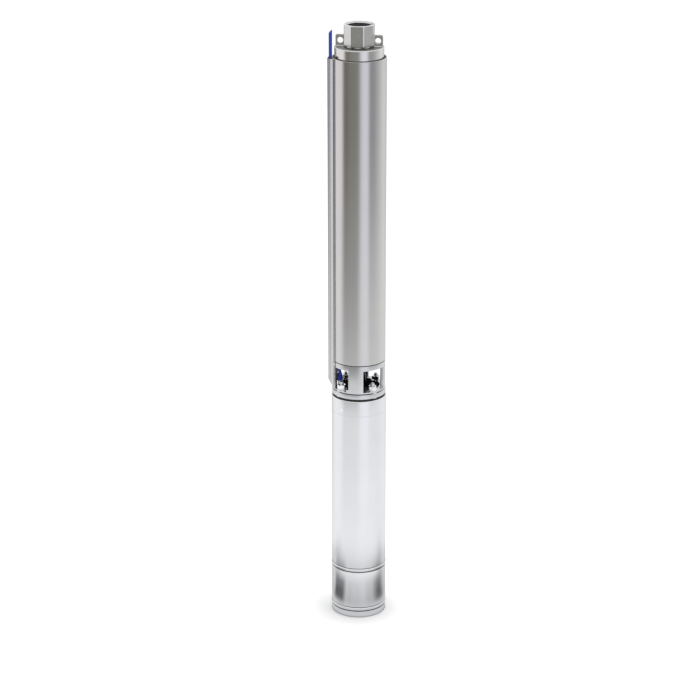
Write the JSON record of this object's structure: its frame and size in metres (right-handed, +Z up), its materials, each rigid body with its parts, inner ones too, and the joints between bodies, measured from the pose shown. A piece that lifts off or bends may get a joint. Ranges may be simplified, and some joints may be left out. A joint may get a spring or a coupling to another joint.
{
  "type": "borehole submersible pump",
  "caption": "Slim upright borehole submersible pump: canned motor, open suction windows, multistage pump end with a cable guard, threaded outlet and rope eyes.",
  "frame": {"origin": "centre of the flat face that the motor stands on", "axes": "+Z up the shaft towards the outlet, +X towards the right rope eye, -Y towards the front"},
  "size_m": [0.101, 0.0972, 1.069],
  "materials": {
    "polished_motor_steel": "polished stainless tube, fine turned marks",
    "satin_sleeve_steel": "satin stainless tube, fine brushing round the axis",
    "cast_head_steel": "cast stainless, bead blasted and machined",
    "cast_bracket_steel": "cast stainless, bead blasted",
    "bright_fastener_steel": "bright stainless fasteners",
    "pressed_stage_steel": "pressed stainless",
    "turned_shaft_steel": "turned stainless, dark",
    "black_rubber": "matt rubber",
    "bearing_carbon": "ground carbon",
    "laminated_iron": "laminated iron",
    "winding_copper": "enamelled copper",
    "blue_lead_sheath": "blue cable sheath"
  },
  "bodies": {
    "housing": {"base_cover": "polished_motor_steel", "thrust_housing": "polished_motor_steel", "lower_end_bell": "polished_motor_steel", "motor_shell": "polished_motor_steel", "motor_top_bell": "polished_motor_steel", "fill_plug": "polished_motor_steel", "pump_sleeve": "satin_sleeve_steel", "cable_guard": "satin_sleeve_steel", "discharge_head": "cast_head_steel", "rope_eyes": "cast_head_steel", "suction_interconnector": "cast_bracket_steel", "motor_studs": "bright_fastener_steel", "stud_washers": "bright_fastener_steel", "stud_nuts": "bright_fastener_steel", "guard_screws": "bright_fastener_steel", "chamber_1": "pressed_stage_steel", "chamber_2": "pressed_stage_steel", "chamber_3": "pressed_stage_steel", "chamber_4": "pressed_stage_steel", "chamber_5": "pressed_stage_steel", "chamber_6": "pressed_stage_steel", "chamber_7": "pressed_stage_steel", "chamber_8": "pressed_stage_steel", "chamber_9": "pressed_stage_steel", "top_chamber": "pressed_stage_steel", "valve_seat": "pressed_stage_steel", "valve_guide": "pressed_stage_steel", "valve_spring": "pressed_stage_steel", "lead_connector": "turned_shaft_steel", "diaphragm": "black_rubber", "shaft_seal": "black_rubber", "motor_gasket": "black_rubber", "neck_rings": "black_rubber", "head_ring": "black_rubber", "motor_bearings": "bearing_carbon", "stage_bearings": "bearing_carbon", "thrust_pads": "bearing_carbon", "stator_core": "laminated_iron", "thrust_carrier": "laminated_iron", "stator_windings": "winding_copper", "motor_lead": "blue_lead_sheath", "lead_boot": "blue_lead_sheath"},
    "rotor": {"motor_shaft": "turned_shaft_steel", "rotor_core": "laminated_iron", "thrust_disc": "laminated_iron", "sand_slinger": "black_rubber", "shaft_coupling": "turned_shaft_steel", "pump_shaft": "turned_shaft_steel", "impeller_1": "pressed_stage_steel", "impeller_2": "pressed_stage_steel", "impeller_3": "pressed_stage_steel", "impeller_4": "pressed_stage_steel", "impeller_5": "pressed_stage_steel", "impeller_6": "pressed_stage_steel", "impeller_7": "pressed_stage_steel", "impeller_8": "pressed_stage_steel", "impeller_9": "pressed_stage_steel", "shaft_nut": "turned_shaft_steel"},
    "valve": {"valve_cone": "pressed_stage_steel", "valve_seal": "black_rubber"}
  },
  "joints": [
    {"name": "shaft_spin", "type": "hinge", "parent": "housing", "child": "rotor", "pos_m": [0, 0, 0.45], "axis": [0, 0, 1], "continuous": true},
    {"name": "valve_lift", "type": "slide", "parent": "housing", "child": "valve", "axis": [0, 0, 1], "range_m": [0, 0.012], "stiffness_N_per_m": 200, "springref_m": -0.005, "deforming": ["valve_spring"]}
  ]
}
